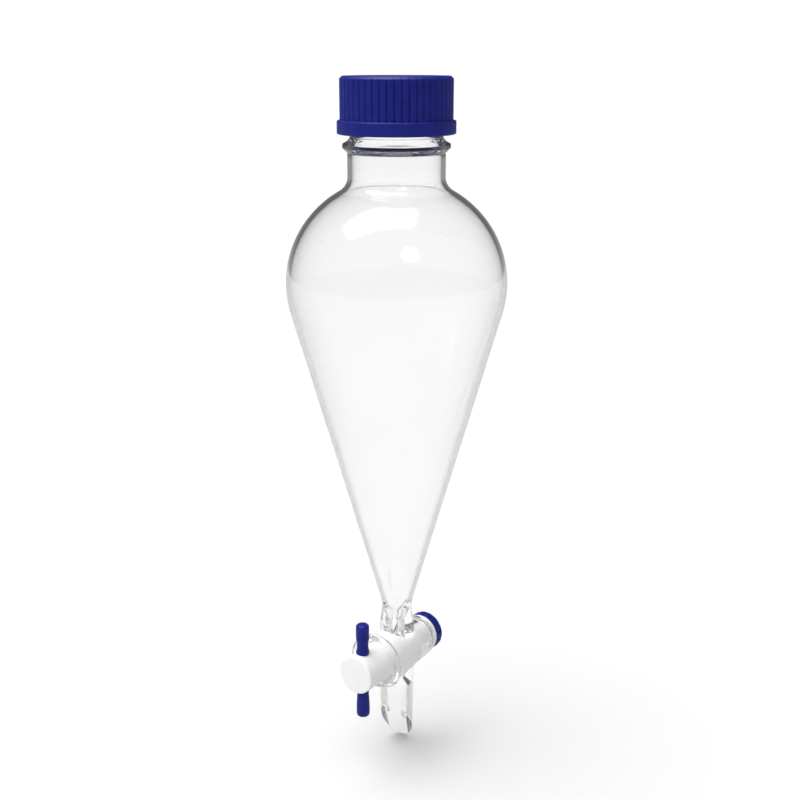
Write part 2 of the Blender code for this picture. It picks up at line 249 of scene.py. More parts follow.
def cut(piece, cutters):
    """Cuts closed shapes out of a piece, and removes them."""
    for cutter in cutters:
        change = piece.modifiers.new("Cut", "BOOLEAN")
        change.operation = "DIFFERENCE"
        change.solver = "EXACT"
        change.object = cutter
    graph = bpy.context.evaluated_depsgraph_get()
    result = bpy.data.meshes.new_from_object(piece.evaluated_get(graph))
    piece.modifiers.clear()
    piece.data = result
    for cutter in cutters:
        bpy.data.objects.remove(cutter)


def eased(share):
    """A share from 0 to 1, made to start and end gently."""
    return share * share * (3 - 2 * share)


def thread_height(angles, z, start):
    """How far the thread's ridge stands at a height, from 0 to 1, for each angle."""
    rise = np.zeros_like(angles)
    for turn in range(-1, 3):
        along = angles / TAU + turn
        ends = np.clip(np.minimum(along, THREAD_TURNS - along) / THREAD_RUN_OUT, 0, 1)
        across = (z - start - THREAD_PITCH * along) / THREAD_HALF
        bump = np.clip(1 - across**2, 0, 1) ** 1.4
        rise = np.maximum(rise, np.minimum(1.0, 1.18 * bump) * eased(ends))
    return rise


def fine_thread(angles, z, shift=0.0):
    """The depth of the thread between tail and nut, from 0 to 1, for each angle."""
    phase = (z / TAIL_PITCH - angles / TAU + shift) % 1.0
    return 0.5 + 0.5 * np.cos(TAU * phase)


def flutes(angles, count, half_width):
    """Grooves along Z spaced evenly round a piece, from 0 between them to 1 in their middle."""
    place = (angles * count / TAU) % 1.0
    return eased(np.clip(1 - np.abs(place - 0.5) / half_width, 0, 1))


# ---------------------------------------------------------------- the glass body

def cone_radius(z, offset=0.0):
    """The cone's radius at a height, at a distance inside its outer surface."""
    return (z - CONE_APEX) * math.tan(CONE_HALF) - offset / math.cos(CONE_HALF)


def body_curve(offset):
    """(r, z) from the join up to the neck's foot, at a distance inside the outer surface."""
    wide, tall = BULB_RADIUS - offset, BULB_RISE - offset
    fillet = SHOULDER_FILLET + offset
    turn_r = NECK_RADIUS - offset + fillet
    low, high = 0.0, math.pi / 2
    while high - low > 1e-9:  # where the fillet touches the ellipse of the upper bulb
        end = (low + high) / 2
        lean = math.atan2(math.sin(end) / tall, math.cos(end) / wide)
        low, high = (end, high) if wide * math.cos(end) + fillet * math.cos(lean) > turn_r else (low, end)
    turn_z = BULB_HEIGHT + tall * math.sin(end) + fillet * math.sin(lean)
    foot = BULB_HEIGHT - wide * math.sin(CONE_HALF)
    start = JOIN_HEIGHT + 0.6
    curve = []
    for i in range(26):
        z = start + (foot - start) * i / 26
        curve.append((cone_radius(z, offset), z))
    curve += arc((0.0, BULB_HEIGHT), wide, -math.degrees(CONE_HALF), 0, 10)
    for i in range(1, 33):
        angle = end * i / 32
        curve.append((wide * math.cos(angle), BULB_HEIGHT + tall * math.sin(angle)))
    lean = math.degrees(lean)
    return curve + arc((turn_r, turn_z), fillet, 180 + lean, 180, 12)[1:]


def glass_upper_rows():
    """(r, z) of the glass above the join: up the outside, over the mouth and down the inside."""
    bead = BEAD_HEIGHT
    outer = body_curve(0.0)
    collar = rounded([
        (*outer[-1], 0),
        (NECK_RADIUS, bead - 3.2, 1.2),
        (BEAD_RADIUS, bead - 1.0, 0.7),
        (BEAD_RADIUS, bead + 0.8, 0.7),
        (22.6, bead + 1.9, 1.6),
        (MOUTH_RADIUS, bead + 3.6, 1.2),
        (MOUTH_RADIUS, THREAD_FOOT, 0),
    ])
    thread = [(MOUTH_RADIUS, THREAD_FOOT + THREAD_ROW * (i + 1)) for i in range(THREAD_ROWS)]
    top = rounded([
        (MOUTH_RADIUS, THREAD_TOP, 0),
        (MOUTH_RADIUS, MOUTH_TOP, 1.6),
        (MOUTH_BORE + 1.0, MOUTH_TOP, 0),
    ])
    inner = body_curve(WALL)
    inside = rounded([
        (MOUTH_BORE + 1.0, MOUTH_TOP, 0),
        (MOUTH_BORE, MOUTH_TOP, 1.5),
        (MOUTH_BORE, bead + 5.0, 3.0),
        (MOUTH_BORE + 0.5, bead + 1.5, 1.5),
        (NECK_RADIUS - WALL, bead - 3.0, 3.0),
        (*inner[-1], 0),
    ])
    outside = outer[:-1] + split_long(collar, ROW_GAP)[:-1] + thread + split_long(top[1:], ROW_GAP)
    return outside + split_long(inside, ROW_GAP)[1:] + inner[::-1][1:]


def mouth_thread(angles, r, z):
    """The thread's ridge on the mouth's outer wall."""
    if r < MOUTH_RADIUS - 0.01 or not THREAD_FOOT < z < THREAD_TOP:
        return np.full(len(angles), float(r))
    return r + MOUTH_RIDGE * thread_height(angles, z, THREAD_START)


def smooth_profile(points, spread):
    """Straight runs through (place, radius) points, blurred, as a function of place.

    The function gives the radius, and the length of the surface per length of the axis.
    """
    heights = np.array([p[0] for p in points], float)
    radii = np.array([p[1] for p in points], float)
    step = 0.05
    fine = np.arange(heights[0], heights[-1] + step, step)
    pad = int(4 * spread / step)
    raw = np.interp(fine, heights, radii)
    first, last = raw[1] - raw[0], raw[-2] - raw[-3]
    raw = np.concatenate([
        raw[0] + first * np.arange(-pad, 0), raw, raw[-1] + last * np.arange(1, pad + 1)
    ])
    weights = np.exp(-0.5 * (np.arange(-pad, pad + 1) * step / spread) ** 2)
    smooth = np.convolve(raw, weights / weights.sum(), mode="valid")
    slope = np.gradient(smooth, step)

    def read(height):
        return np.interp(height, fine, smooth), np.sqrt(1 + np.interp(height, fine, slope) ** 2)

    return read


def smooth_max(a, b, width):
    """The larger value, with the crease between them rounded over a width."""
    blend = np.maximum(width - np.abs(a - b), 0) / width
    return np.maximum(a, b) + blend * blend * width / 4


def smooth_min(a, b, width):
    return -smooth_max(-a, -b, width)


def taper(place):
    """The radius of the stopcock's ground taper at a place along its axis."""
    return TAPER_RADIUS - TAPER_SLOPE * place


STEM_OUTSIDE = smooth_profile([
    (-30, 7.3), (0, 7.3), (14, 8.05), (27, STEM_RADIUS), (46, STEM_RADIUS), (64, STEM_RADIUS + 0.35),
    (69, STEM_RADIUS - 0.15), (74.5, 7.6), (78.8, 7.4), (82.3, cone_radius(82.3)), (120, cone_radius(120)),
], 0.9)
BARREL_OUTSIDE = smooth_profile([
    (-40, 15.0), (-18.3, 15.0), (-16.7, 14.7), (-15.3, 13.25), (-13.7, 12.85), (18.6, 10.6), (40, 9.1),
], 0.45)
DRIP_INSIDE = smooth_profile([
    (30, DRIP_BORE), (70.5, DRIP_BORE), (73.5, 3.4), (77.5, 4.6), (82.3, cone_radius(82.3, WALL)),
    (120, cone_radius(120, WALL)),
], 0.8)
BARREL_INSIDE = smooth_profile([
    (-40, 12.6), (-19.7, 12.4), (-17.9, 12.0), (TAPER_FRONT, taper(TAPER_FRONT)), (40, taper(40)),
], 0.25)
STEM_INSIDE = smooth_profile([
    (-30, 4.8), (10, 4.8), (24, STEM_BORE), (34, STEM_BORE), (39, DRIP_BORE), (70, DRIP_BORE),
], 0.6)
TIP_NORMAL = Vector((
    math.cos(TIP_CUT_DIRECTION) * TIP_CUT_SLOPE, math.sin(TIP_CUT_DIRECTION) * TIP_CUT_SLOPE, 1.0
)).normalized()


def glass_field(p):
    """Signed distance in millimetres of the glass around the stopcock, negative inside the glass."""
    x, y, z = p[..., 0], p[..., 1], p[..., 2]
    upright = np.sqrt(x * x + y * y + 1e-9)
    across = np.sqrt(x * x + (z - COCK) ** 2 + 1e-9)

    def off(radius, profile, place):
        size, stretch = profile(place)
        return (radius - size) / stretch

    barrel = off(across, BARREL_OUTSIDE, y)
    barrel = smooth_max(barrel, BARREL_FRONT - y, LIP_ROUNDING)
    barrel = smooth_max(barrel, y - BARREL_BACK, BACK_ROUNDING)
    outside = smooth_min(off(upright, STEM_OUTSIDE, z), barrel, WELD_ROUNDING)
    drip = np.maximum(off(upright, DRIP_INSIDE, z), 58.0 - z)
    stem = np.maximum(off(upright, STEM_INSIDE, z), z - 48.0)
    bore = smooth_min(drip, stem, BORE_ROUNDING)
    hollow = smooth_min(bore, off(across, BARREL_INSIDE, y), BORE_ROUNDING)
    solid = smooth_max(outside, -hollow, MOUTH_ROUNDING)
    tip = TIP_NORMAL.x * x + TIP_NORMAL.y * y + TIP_NORMAL.z * (z - TIP_CUT_HEIGHT)
    return smooth_max(solid, -tip, TIP_ROUNDING)


def field_slope(field, points, step=0.02):
    """The field's gradient at each point, by central differences."""
    slope = np.zeros_like(points)
    for axis in range(3):
        shift = np.zeros(3)
        shift[axis] = step
        slope[:, axis] = (field(points + shift) - field(points - shift)) / (2 * step)
    return slope


def onto_surface(field, points, rounds=4):
    """Moves points along the field's slope until the field is zero there."""
    for _ in range(rounds):
        slope = field_slope(field, points)
        size = np.maximum((slope**2).sum(1), 0.2)
        points = points - slope * np.clip(field(points) / size, -0.5, 0.5)[:, None]
    return points


def surface_net(field, low, high, step):
    """Quads over the surface where the field is zero, one point per grid cell it passes through."""
    axes = [np.arange(a, b + step / 2, step) for a, b in zip(low, high)]
    grid = np.stack(np.meshgrid(*axes, indexing="ij"), -1)
    value = field(grid)
    sizes = value.shape
    total = np.zeros([n - 1 for n in sizes])
    sums = np.zeros([n - 1 for n in sizes] + [3])
    crossings = []
    for axis in range(3):
        head = [slice(None)] * 3
        tail = [slice(None)] * 3
        head[axis], tail[axis] = slice(0, -1), slice(1, None)
        a, b = value[tuple(head)], value[tuple(tail)]
        crossed = (a < 0) != (b < 0)
        part = np.where(crossed, a / np.where(crossed, a - b, 1.0), 0.0)
        spots = grid[tuple(head)].copy()
        spots[..., axis] += part * step
        crossings.append((crossed, a < 0))
        others = [other for other in range(3) if other != axis]
        for first in (0, 1):
            for second in (0, 1):
                pick = [slice(None)] * 3
                for other, shift in zip(others, (first, second)):
                    pick[other] = slice(shift, sizes[other] - 1 + shift)
                hit = crossed[tuple(pick)]
                total += hit
                sums += np.where(hit[..., None], spots[tuple(pick)], 0.0)
    used = total > 0
    index = np.full(used.shape, -1)
    index[used] = np.arange(used.sum())
    points = sums[used] / total[used][:, None]
    quads = []
    for axis in range(3):
        crossed, inside = crossings[axis]
        others = [(axis + 1) % 3, (axis + 2) % 3]
        spots = np.argwhere(crossed)
        keep = np.all([(spots[:, o] > 0) & (spots[:, o] < sizes[o] - 1) for o in others], axis=0)
        spots = spots[keep]
        ring = []
        for first, second in ((1, 1), (0, 1), (0, 0), (1, 0)):
            cell = spots.copy()
            cell[:, others[0]] -= first
            cell[:, others[1]] -= second
            ring.append(index[cell[:, 0], cell[:, 1], cell[:, 2]])
        ring = np.stack(ring, 1)
        flip = ~inside[spots[:, 0], spots[:, 1], spots[:, 2]]
        ring[flip] = ring[flip][:, ::-1]
        quads.append(ring)
    return points, np.concatenate(quads)


def open_loops(quads):
    """The loops of points along the mesh's open edge, in the order of its faces."""
    sides = np.concatenate([quads[:, [i, (i + 1) % 4]] for i in range(4)])
    known = {(int(a), int(b)) for a, b in sides}
    follow = {a: b for a, b in known if (b, a) not in known}
    loops = []
    while follow:
        start, here = next(iter(follow.items()))
        del follow[start]
        loop = [start]
        while here != start:
            loop.append(here)
            here = follow.pop(here)
        loops.append(loop)
    return loops


def relax(field, points, quads, fixed, rounds=4):
    """Evens out the points along the surface."""
    sides = np.concatenate([quads[:, [i, (i + 1) % 4]] for i in range(4)])
    free = np.ones(len(points), bool)
    free[fixed] = False
    count = np.zeros(len(points))
    np.add.at(count, sides[:, 0], 1)
    np.add.at(count, sides[:, 1], 1)
    for _ in range(rounds):
        sums = np.zeros_like(points)
        np.add.at(sums, sides[:, 0], points[sides[:, 1]])
        np.add.at(sums, sides[:, 1], points[sides[:, 0]])
        middle = sums / count[:, None]
        points = np.where(free[:, None], points + 0.6 * (middle - points), points)
        points = onto_surface(field, points, 2)
    return points


def zipper(points, lower, upper):
    """Triangles between two rings of points about Z that need not have the same count."""
    def ordered(ring):
        angle = np.arctan2(points[ring, 1], points[ring, 0]) % TAU
        order = np.argsort(angle)
        return [ring[i] for i in order], angle[order]

    low, low_angle = ordered(np.asarray(lower))
    high, high_angle = ordered(np.asarray(upper))
    faces = []
    i = j = 0
    while i < len(low) or j < len(high):
        next_low = low_angle[(i + 1) % len(low)] + (TAU if i + 1 >= len(low) else 0)
        next_high = high_angle[(j + 1) % len(high)] + (TAU if j + 1 >= len(high) else 0)
        here, there = low[i % len(low)], high[j % len(high)]
        if j >= len(high) or (i < len(low) and next_low <= next_high):
            i += 1
            faces.append((here, low[i % len(low)], there))
        else:
            j += 1
            faces.append((here, high[j % len(high)], there))
    return faces


def net_part(bottom, top, step):
    """The glass between two heights as quads, with its open loops at both ends from large to small."""
    points, quads = surface_net(glass_field, (*NET_LOW, bottom), (*NET_HIGH, top), step)
    loops = open_loops(quads)
    points = onto_surface(glass_field, points)
    points = relax(glass_field, points, quads, [i for loop in loops for i in loop])
    middle = (bottom + top) / 2
    size = [np.hypot(points[loop, 0], points[loop, 1]).mean() for loop in loops]
    order = sorted(range(len(loops)), key=lambda i: -size[i])
    ends = [np.asarray(loops[i]) for i in order]
    low = [loop for loop in ends if points[loop, 2].mean() < middle]
    high = [loop for loop in ends if points[loop, 2].mean() > middle]
    return points, quads, low, high


def make_glass(look):
    """The whole glass as one closed mesh: two nets and the turned rows, zipped together."""
    points, quads, _, tip_rim = net_part(NET_FOOT, TIP_ZONE, TIP_STEP)
    stem, stem_quads, stem_foot, stem_top = net_part(TIP_ZONE + NET_GAP, JOIN_HEIGHT, STEM_STEP)
    shift = len(points)
    points = np.concatenate([points, stem])
    faces = quads.tolist() + (stem_quads + shift).tolist()
    for below, above in zip(tip_rim, stem_foot):
        faces += zipper(points, below, above + shift)
    rows = glass_upper_rows()
    first = len(points)
    points = np.concatenate([points, turned_points(rows, UPPER_SIDES, mouth_thread).reshape(-1, 3)])
    faces += ring_faces(len(rows), UPPER_SIDES, first=first)
    rings = [np.arange(first, first + UPPER_SIDES), np.arange(len(points) - UPPER_SIDES, len(points))]
    for below, above in zip(stem_top, rings):
        faces += zipper(points, below + shift, above)
    return make_piece("glass_funnel", points, faces, look, "funnel", "glass", "glass_body", sharp=0)


# ---------------------------------------------------------------- cap and liner

def cap_rows():
    """(r, z) of the cap: out along its foot, up the outside, and back down the inside."""
    outer = rounded([
        (CAP_MOUTH, CAP_FOOT, 0),
        (FLANGE_RADIUS, CAP_FOOT, 0.7),
        (FLANGE_RADIUS, FLANGE_TOP - 0.05, 0.8),
        (CAP_RADIUS, FLANGE_TOP, 0.25),
        (CAP_RADIUS, CAP_TOP - 1.2, 0.15),
        (CAP_RADIUS - 1.2, CAP_TOP, 0.35),
        (22.3, CAP_TOP, 0.2),
        (22.1, CAP_TOP - 0.25, 0.2),
        (0.0, CAP_TOP - 0.25, 0),
    ])
    inner = rounded([
        (0.0, CAP_CEILING, 0),
        (CAP_BORE, CAP_CEILING, 0.4),
        (CAP_BORE, 321.0, 0),
        (CAP_BORE, CAP_FOOT + 1.2, 0),
        (CAP_BORE, CAP_FOOT + 0.8, 0.2),
        (CAP_MOUTH, CAP_FOOT, 0.2),
    ])
    return split_long(outer, 1.6) + split_long(inner, 0.5)


def cap_surface(angles, r, z):
    """The grooves round the cap's wall and the thread's ridge inside it."""
    radii = np.full(len(angles), float(r))
    if r > CAP_RADIUS - 0.45 and FLANGE_TOP + 0.05 < z < CAP_TOP - 0.6:
        fade = np.clip((CAP_TOP - 0.9 - z) / 0.9, 0, 1)
        radii -= RIB_DEPTH * flutes(angles, CAP_RIBS, 0.17) * fade
    elif abs(r - CAP_BORE) < 0.05 and z > CAP_FOOT + 0.9:
        radii -= CAP_RIDGE * thread_height(angles, z, THREAD_START - THREAD_PITCH / 2)
    return radii


def make_cap(look):
    turned_piece("ribbed_cap", cap_rows(), CAP_RIBS * 10, look, "cap", "blue_plastic", "screw_cap",
                 change=cap_surface, sharp=35)


def disc_rows(radius, low, high, edge):
    """(r, z) of a disc between two heights, with rounded edges."""
    corners = [(0.0, low, 0), (radius, low, edge), (radius, high, edge), (0.0, high, 0)]
    return split_long(rounded(corners), ROW_GAP)


def make_liner(silicone, ptfe):
    """The PTFE facing, which touches the glass, and the silicone pad above it."""
    turned_piece("liner_facing_film", disc_rows(LINER_RADIUS, 331.08, 331.53, 0.12),
                 ROUND_SIDES, ptfe, "liner", "ptfe", "liner_facing")
    turned_piece("liner_pad", disc_rows(LINER_RADIUS, 331.61, 333.12, 0.3),
                 ROUND_SIDES, silicone, "liner", "silicone", "liner_disc")


# ---------------------------------------------------------------- stopcock

def tail_thread(angles, r, z):
    """The thread on the plug's tail."""
    if not TAIL_RADIUS - 0.1 < r < TAIL_RADIUS + 0.05 or z < TAIL_FOOT + 1.4:
        return np.full(len(angles), float(r))
    return r - TAIL_GROOVE * fine_thread(angles, z)


def round_cutter(name, radius, place):
    """An upright rod through the stopcock's axis, to cut a hole with."""
    reach = 14
    corners = [(0.0, -reach), (radius, -reach), (radius, reach), (0.0, reach)]
    rod = turned_piece(name, split_long(corners, 2), 48)
    rod.location = (0, place * MM, COCK * MM)
    return rod


def flat_cutter(size, middle):
    """A block to cut the tail's flat with."""
    block = bmesh.new()
    bmesh.ops.create_cube(block, size=1.0)
    bmesh.ops.scale(block, vec=Vector(size) * MM, verts=block.verts)
    bmesh.ops.translate(block, vec=Vector(middle) * MM, verts=block.verts)
    mesh = bpy.data.meshes.new("flat_cutter")
    block.to_mesh(mesh)
    block.free()
    cutter = bpy.data.objects.new("flat_cutter", mesh)
    bpy.context.scene.collection.objects.link(cutter)
    return cutter


def make_plug(look):
    """The plug: head, taper and threaded tail, with the bore, the handle's hole and the tail's flat cut."""
    shank = taper(TAPER_FRONT) - 0.05
    rows = rounded([
        (0.0, HEAD_FRONT, 0),
        (HEAD_RADIUS, HEAD_FRONT, 0.55),
        (HEAD_RADIUS, -17.6, 0.35),
        (shank, -17.2, 0.15),
        (shank, -14.9, 0),
        (taper(SEAT_FRONT) + SEAT, SEAT_FRONT, 0),
        (taper(SEAT_END) + SEAT, SEAT_END, 0),
        (taper(SEAT_END + 0.4) - PLUG_GAP, SEAT_END + 0.4, 0),
        (taper(TAIL_FOOT) - PLUG_GAP, TAIL_FOOT, 0.2),
        (TAIL_RADIUS, TAIL_FOOT, 0.1),
        (TAIL_RADIUS, TAIL_END - 0.6, 0.2),
        (TAIL_RADIUS - 0.6, TAIL_END, 0.2),
        (0.0, TAIL_END, 0),
    ])
    split = TAIL_FOOT + 0.3
    head, tail = [p for p in rows if p[1] < split], [p for p in rows if p[1] >= split]
    rows = split_long(head, 1.2) + split_long([head[-1]] + tail, 0.22)[1:]
    plug = turned_piece("ptfe_plug", rows, ROUND_SIDES, look, "plug", "ptfe", "stopcock_plug",
                        change=tail_thread, along_y=True)
    bore = round_cutter("bore_cutter", PLUG_BORE, 0)
    hole = round_cutter("hole_cutter", HANDLE_HOLE, HANDLE_PLACE)
    flat = flat_cutter((14, 12, 6), (0, 25.4, COCK + 3.9 + 3))
    bpy.context.view_layer.update()
    cut(plug, [bore, hole, flat])
    plug.data.shade_smooth()
    plug.data.set_sharp_from_angle(angle=math.radians(30))


def make_handle(look):
    """The bar through the plug's head: a shank with a waisted grip at each end."""
    foot, top, radius, waist, shank = 24.5, 25.1, 3.25, 2.75, 2.7
    rows = rounded([
        (0.0, -foot, 0),
        (radius, -foot, 2.1),
        (radius, -foot + 5.0, 0.25),
        (radius - 0.16, -foot + 5.15, 0.12),
        (radius - 0.16, -foot + 5.4, 0.12),
        (radius, -foot + 5.55, 0.25),
        (waist + 0.25, -foot + 10.5, 4.0),
        (shank, -9.6, 0.3),
        (shank, 9.55, 0.1),
        (radius, 9.6, 0.45),
        (radius, 10.8, 0.5),
        (waist + 0.1, 12.4, 1.4),
        (waist, top - 9.3, 3.0),
        (radius - 0.05, top - 8.1, 0.25),
        (radius - 0.2, top - 7.95, 0.12),
        (radius - 0.2, top - 7.7, 0.12),
        (radius, top - 7.55, 0.25),
        (radius, top, 2.1),
        (0.0, top, 0),
    ], step=9)
    sides = 72
    points = turned_points(split_long(rows, 0.8), sides)
    points[..., 1] += HANDLE_PLACE
    points[..., 2] += COCK
    faces = ring_faces(len(points), sides)
    make_piece("handle_bar", points, faces, look, "plug", "blue_plastic", "handle", sharp=50)


def washer_bore(angles, r, z):
    """A D-shaped bore: its flat lies on the tail's, which faces up once the washer lies along Y."""
    down = np.maximum(-np.sin(angles), 1e-6)
    return np.minimum(r, TAIL_FLAT / down) if r < 5.2 else np.full(len(angles), float(r))


def make_washer(look):
    """The white ring between the barrel and the nut."""
    rows = rounded([
        (NUT_BORE, WASHER_FRONT, 0.15),
        (WASHER_RADIUS, WASHER_FRONT, 0.4),
        (WASHER_RADIUS, WASHER_BACK, 0.4),
        (NUT_BORE, WASHER_BACK, 0.15),
    ], closed=True)
    turned_piece("ptfe_washer", split_long(rows, 0.8, closed=True), ROUND_SIDES, look, "plug", "ptfe",
                 "thrust_washer", change=washer_bore, closed=True, along_y=True)


def make_o_ring(look):
    rows = arc((6.15, 23.35), 0.95, 0, 345, 23)
    turned_piece("rubber_ring", rows, 96, look, "seal", "black_rubber", "o_ring",
                 closed=True, along_y=True, sharp=0)


def nut_surface(angles, r, z):
    """The finger grooves round the nut and the thread in its bore."""
    radii = np.full(len(angles), float(r))
    if r > 9.2 and 22.5 < z < 26.9:
        ends = np.clip(min(z - 22.7, 26.9 - z) / 0.5, 0, 1)
        radii -= FLUTE_DEPTH * flutes(angles, NUT_FLUTES, 0.2) * ends
    elif r < 5.2 and 25.0 < z < 28.7:
        radii += NUT_GROOVE * fine_thread(angles, z, 0.5)
    return radii


def make_nut(look):
    """The nut, with a recess in front that holds the O-ring."""
    rows = rounded([
        (NUT_BORE, 24.5, 0.2),
        (7.6, 24.5, 0.3),
        (7.6, NUT_FRONT, 0.2),
        (NUT_RADIUS, NUT_FRONT, 0.5),
        (NUT_RADIUS, 27.0, 0.6),
        (7.4, 27.0, 0.4),
        (7.1, NUT_BACK, 0.4),
        (NUT_BORE, NUT_BACK, 0.3),
    ], closed=True)
    turned_piece("fluted_nut", split_long(rows, 0.3, closed=True), NUT_FLUTES * 16, look, "nut",
                 "blue_plastic", "tension_nut", change=nut_surface, closed=True, along_y=True)


# ---------------------------------------------------------------- materials

def add_node(tree, kind, **settings):
    """A new node with the given properties."""
    node = tree.nodes.new(kind)
    for name, value in settings.items():
        setattr(node, name, value)
    return node


def maths(tree, operation, *values, clamp=False):
    """A math node. Each value is a number or a socket to link."""
    node = add_node(tree, "ShaderNodeMath", operation=operation, use_clamp=clamp)
    for socket, value in zip(node.inputs, values):
        if isinstance(value, (int, float)):
            socket.default_value = value
        else:
            tree.links.new(value, socket)
    return node.outputs[0]


class Look:
    """A material with a Principled shader, and helpers that add the nodes which vary it."""

    def __init__(self, name, **values):
        self.material = bpy.data.materials.new(name)
        self.material.use_nodes = True
        self.tree = self.material.node_tree
        self.shader = self.tree.nodes["Principled BSDF"]
        self.place = self.add("ShaderNodeTexCoord").outputs["Object"]
        for socket, value in values.items():
            self.shader.inputs[socket.replace("_", " ")].default_value = value

    def add(self, kind, **settings):
        return add_node(self.tree, kind, **settings)

    def link(self, source, target):
        self.tree.links.new(source, target)

    def noise(self, scale, detail=3.0, roughness=0.5, stretch=None):
        node = self.add("ShaderNodeTexNoise")
        node.inputs["Scale"].default_value = scale
        node.inputs["Detail"].default_value = detail
        node.inputs["Roughness"].default_value = roughness
        place = self.place
        if stretch:
            mapping = self.add("ShaderNodeMapping")
            mapping.inputs["Scale"].default_value = stretch
            self.link(place, mapping.inputs["Vector"])
            place = mapping.outputs["Vector"]
        self.link(place, node.inputs["Vector"])
        return node.outputs["Fac"]

    def ramp(self, source, *stops):
        """A colour ramp through (position, colour) stops, where a colour may be a single grey."""
        node = self.add("ShaderNodeValToRGB")
        elements = node.color_ramp.elements
        while len(elements) < len(stops):
            elements.new(0.5)
        for element, (position, colour) in zip(elements, stops):
            element.position = position
            element.color = (*colour, 1) if isinstance(colour, tuple) else (colour, colour, colour, 1)
        self.link(source, node.inputs["Fac"])
        return node.outputs["Color"]

    def colour(self, source, low, high):
        self.link(self.ramp(source, (0.3, low), (0.7, high)), self.shader.inputs["Base Color"])

    def rough(self, source, low, high, start=0.3, end=0.7):
        self.link(self.ramp(source, (start, low), (end, high)), self.shader.inputs["Roughness"])

    def bump(self, *layers):
        """Bump from (source, strength, distance) layers, each on top of the last."""
        before = None
        for source, strength, distance in layers:
            node = self.add("ShaderNodeBump")
            node.inputs["Strength"].default_value = strength
            node.inputs["Distance"].default_value = distance
            self.link(source, node.inputs["Height"])
            if before is not None:
                self.link(before, node.inputs["Normal"])
            before = node.outputs["Normal"]
        self.link(before, self.shader.inputs["Normal"])


def glass_look():
    """Clear glass. Diffuse and shadow rays go straight through, tinted by height as painted shade and light:
    dimmer through the stem's foot and the bulb to deepen their shadow on the floor, full around the stopcock
    so the plug inside looks brightly lit.
    """
    look = Look("borosilicate_glass", Transmission_Weight=1.0, IOR=1.474)
    look.colour(look.noise(25, 2), (0.985, 0.987, 0.987), (0.995, 0.997, 0.997))
    look.rough(look.noise(60, 4, 0.6), 0.0, 0.012, 0.45, 0.75)
    look.bump((look.noise(40, 1.0, 0.4, (1.0, 1.0, 0.35)), 0.12, 0.0004))
    path = look.add("ShaderNodeLightPath")
    clear = look.add("ShaderNodeBsdfTransparent")
    height = look.add("ShaderNodeSeparateXYZ")
    look.link(look.place, height.inputs[0])
    # painted shade and light: this tint by height deepens the floor's shadow under the stem and the bulb, and
    # lets full light onto the plug inside the barrel
    painted_shadow_and_light_tint = look.ramp(height.outputs["Z"], (0.036, 0.58), (0.043, 1.0), (0.066, 1.0), (0.078, 0.79))
    look.link(painted_shadow_and_light_tint, clear.inputs["Color"])
    surface = look.shader.outputs["BSDF"]
    for kind in ("Is Diffuse Ray", "Is Shadow Ray"):  # light reaches what is behind the glass
        mix = look.add("ShaderNodeMixShader")
        look.link(path.outputs[kind], mix.inputs["Fac"])
        look.link(surface, mix.inputs[1])
        look.link(clear.outputs["BSDF"], mix.inputs[2])
        surface = mix.outputs["Shader"]
    look.link(surface, look.tree.nodes["Material Output"].inputs["Surface"])
    return look.material


def blue_look():
    look = Look("blue_polypropylene", IOR=1.49, Specular_IOR_Level=0.2)
    look.colour(look.noise(180, 4, 0.6), (0.0056, 0.0104, 0.165), (0.0080, 0.0144, 0.205))
    look.rough(look.noise(420, 4, 0.6), 0.34, 0.5)
    look.bump((look.noise(2600, 3, 0.6), 0.22, 0.00006), (look.noise(260, 2), 0.15, 0.0002))
    return look.material


def ptfe_look():
    look = Look("ptfe", IOR=1.36, Specular_IOR_Level=0.4)
    look.colour(look.noise(140, 3, 0.55), (0.780, 0.782, 0.778), (0.815, 0.815, 0.815))
    look.rough(look.noise(500, 3), 0.38, 0.55)
    rings = look.add("ShaderNodeTexWave", wave_type="RINGS", rings_direction="Y")
    rings.inputs["Scale"].default_value = 420
    rings.inputs["Distortion"].default_value = 0.6
    mapping = look.add("ShaderNodeMapping")
    mapping.inputs["Location"].default_value = (0, 0, -COCK * MM)
    look.link(look.place, mapping.inputs["Vector"])
    look.link(mapping.outputs["Vector"], rings.inputs["Vector"])
    turning = look.add("ShaderNodeTexWave", wave_type="BANDS", bands_direction="Y")
    turning.inputs["Scale"].default_value = 900
    turning.inputs["Distortion"].default_value = 0.4
    look.link(look.place, turning.inputs["Vector"])
    look.bump((rings.outputs["Fac"], 0.06, 0.00005), (turning.outputs["Fac"], 0.06, 0.00005),
              (look.noise(900, 3), 0.1, 0.00006))
    return look.material


def silicone_look():
    look = Look("silicone", IOR=1.43, Subsurface_Weight=0.15, Subsurface_Scale=0.002)
    look.colour(look.noise(120, 3), (0.66, 0.645, 0.58), (0.74, 0.725, 0.66))
    look.rough(look.noise(300, 3), 0.5, 0.68)
    look.bump((look.noise(1200, 3), 0.15, 0.00006))
    return look.material


def rubber_look():
    look = Look("black_rubber", IOR=1.52)
    look.colour(look.noise(300, 3), (0.012, 0.012, 0.012), (0.026, 0.026, 0.027))
    look.rough(look.noise(500, 3), 0.42, 0.62)
    look.bump((look.noise(2200, 3), 0.2, 0.00005))
    return look.material


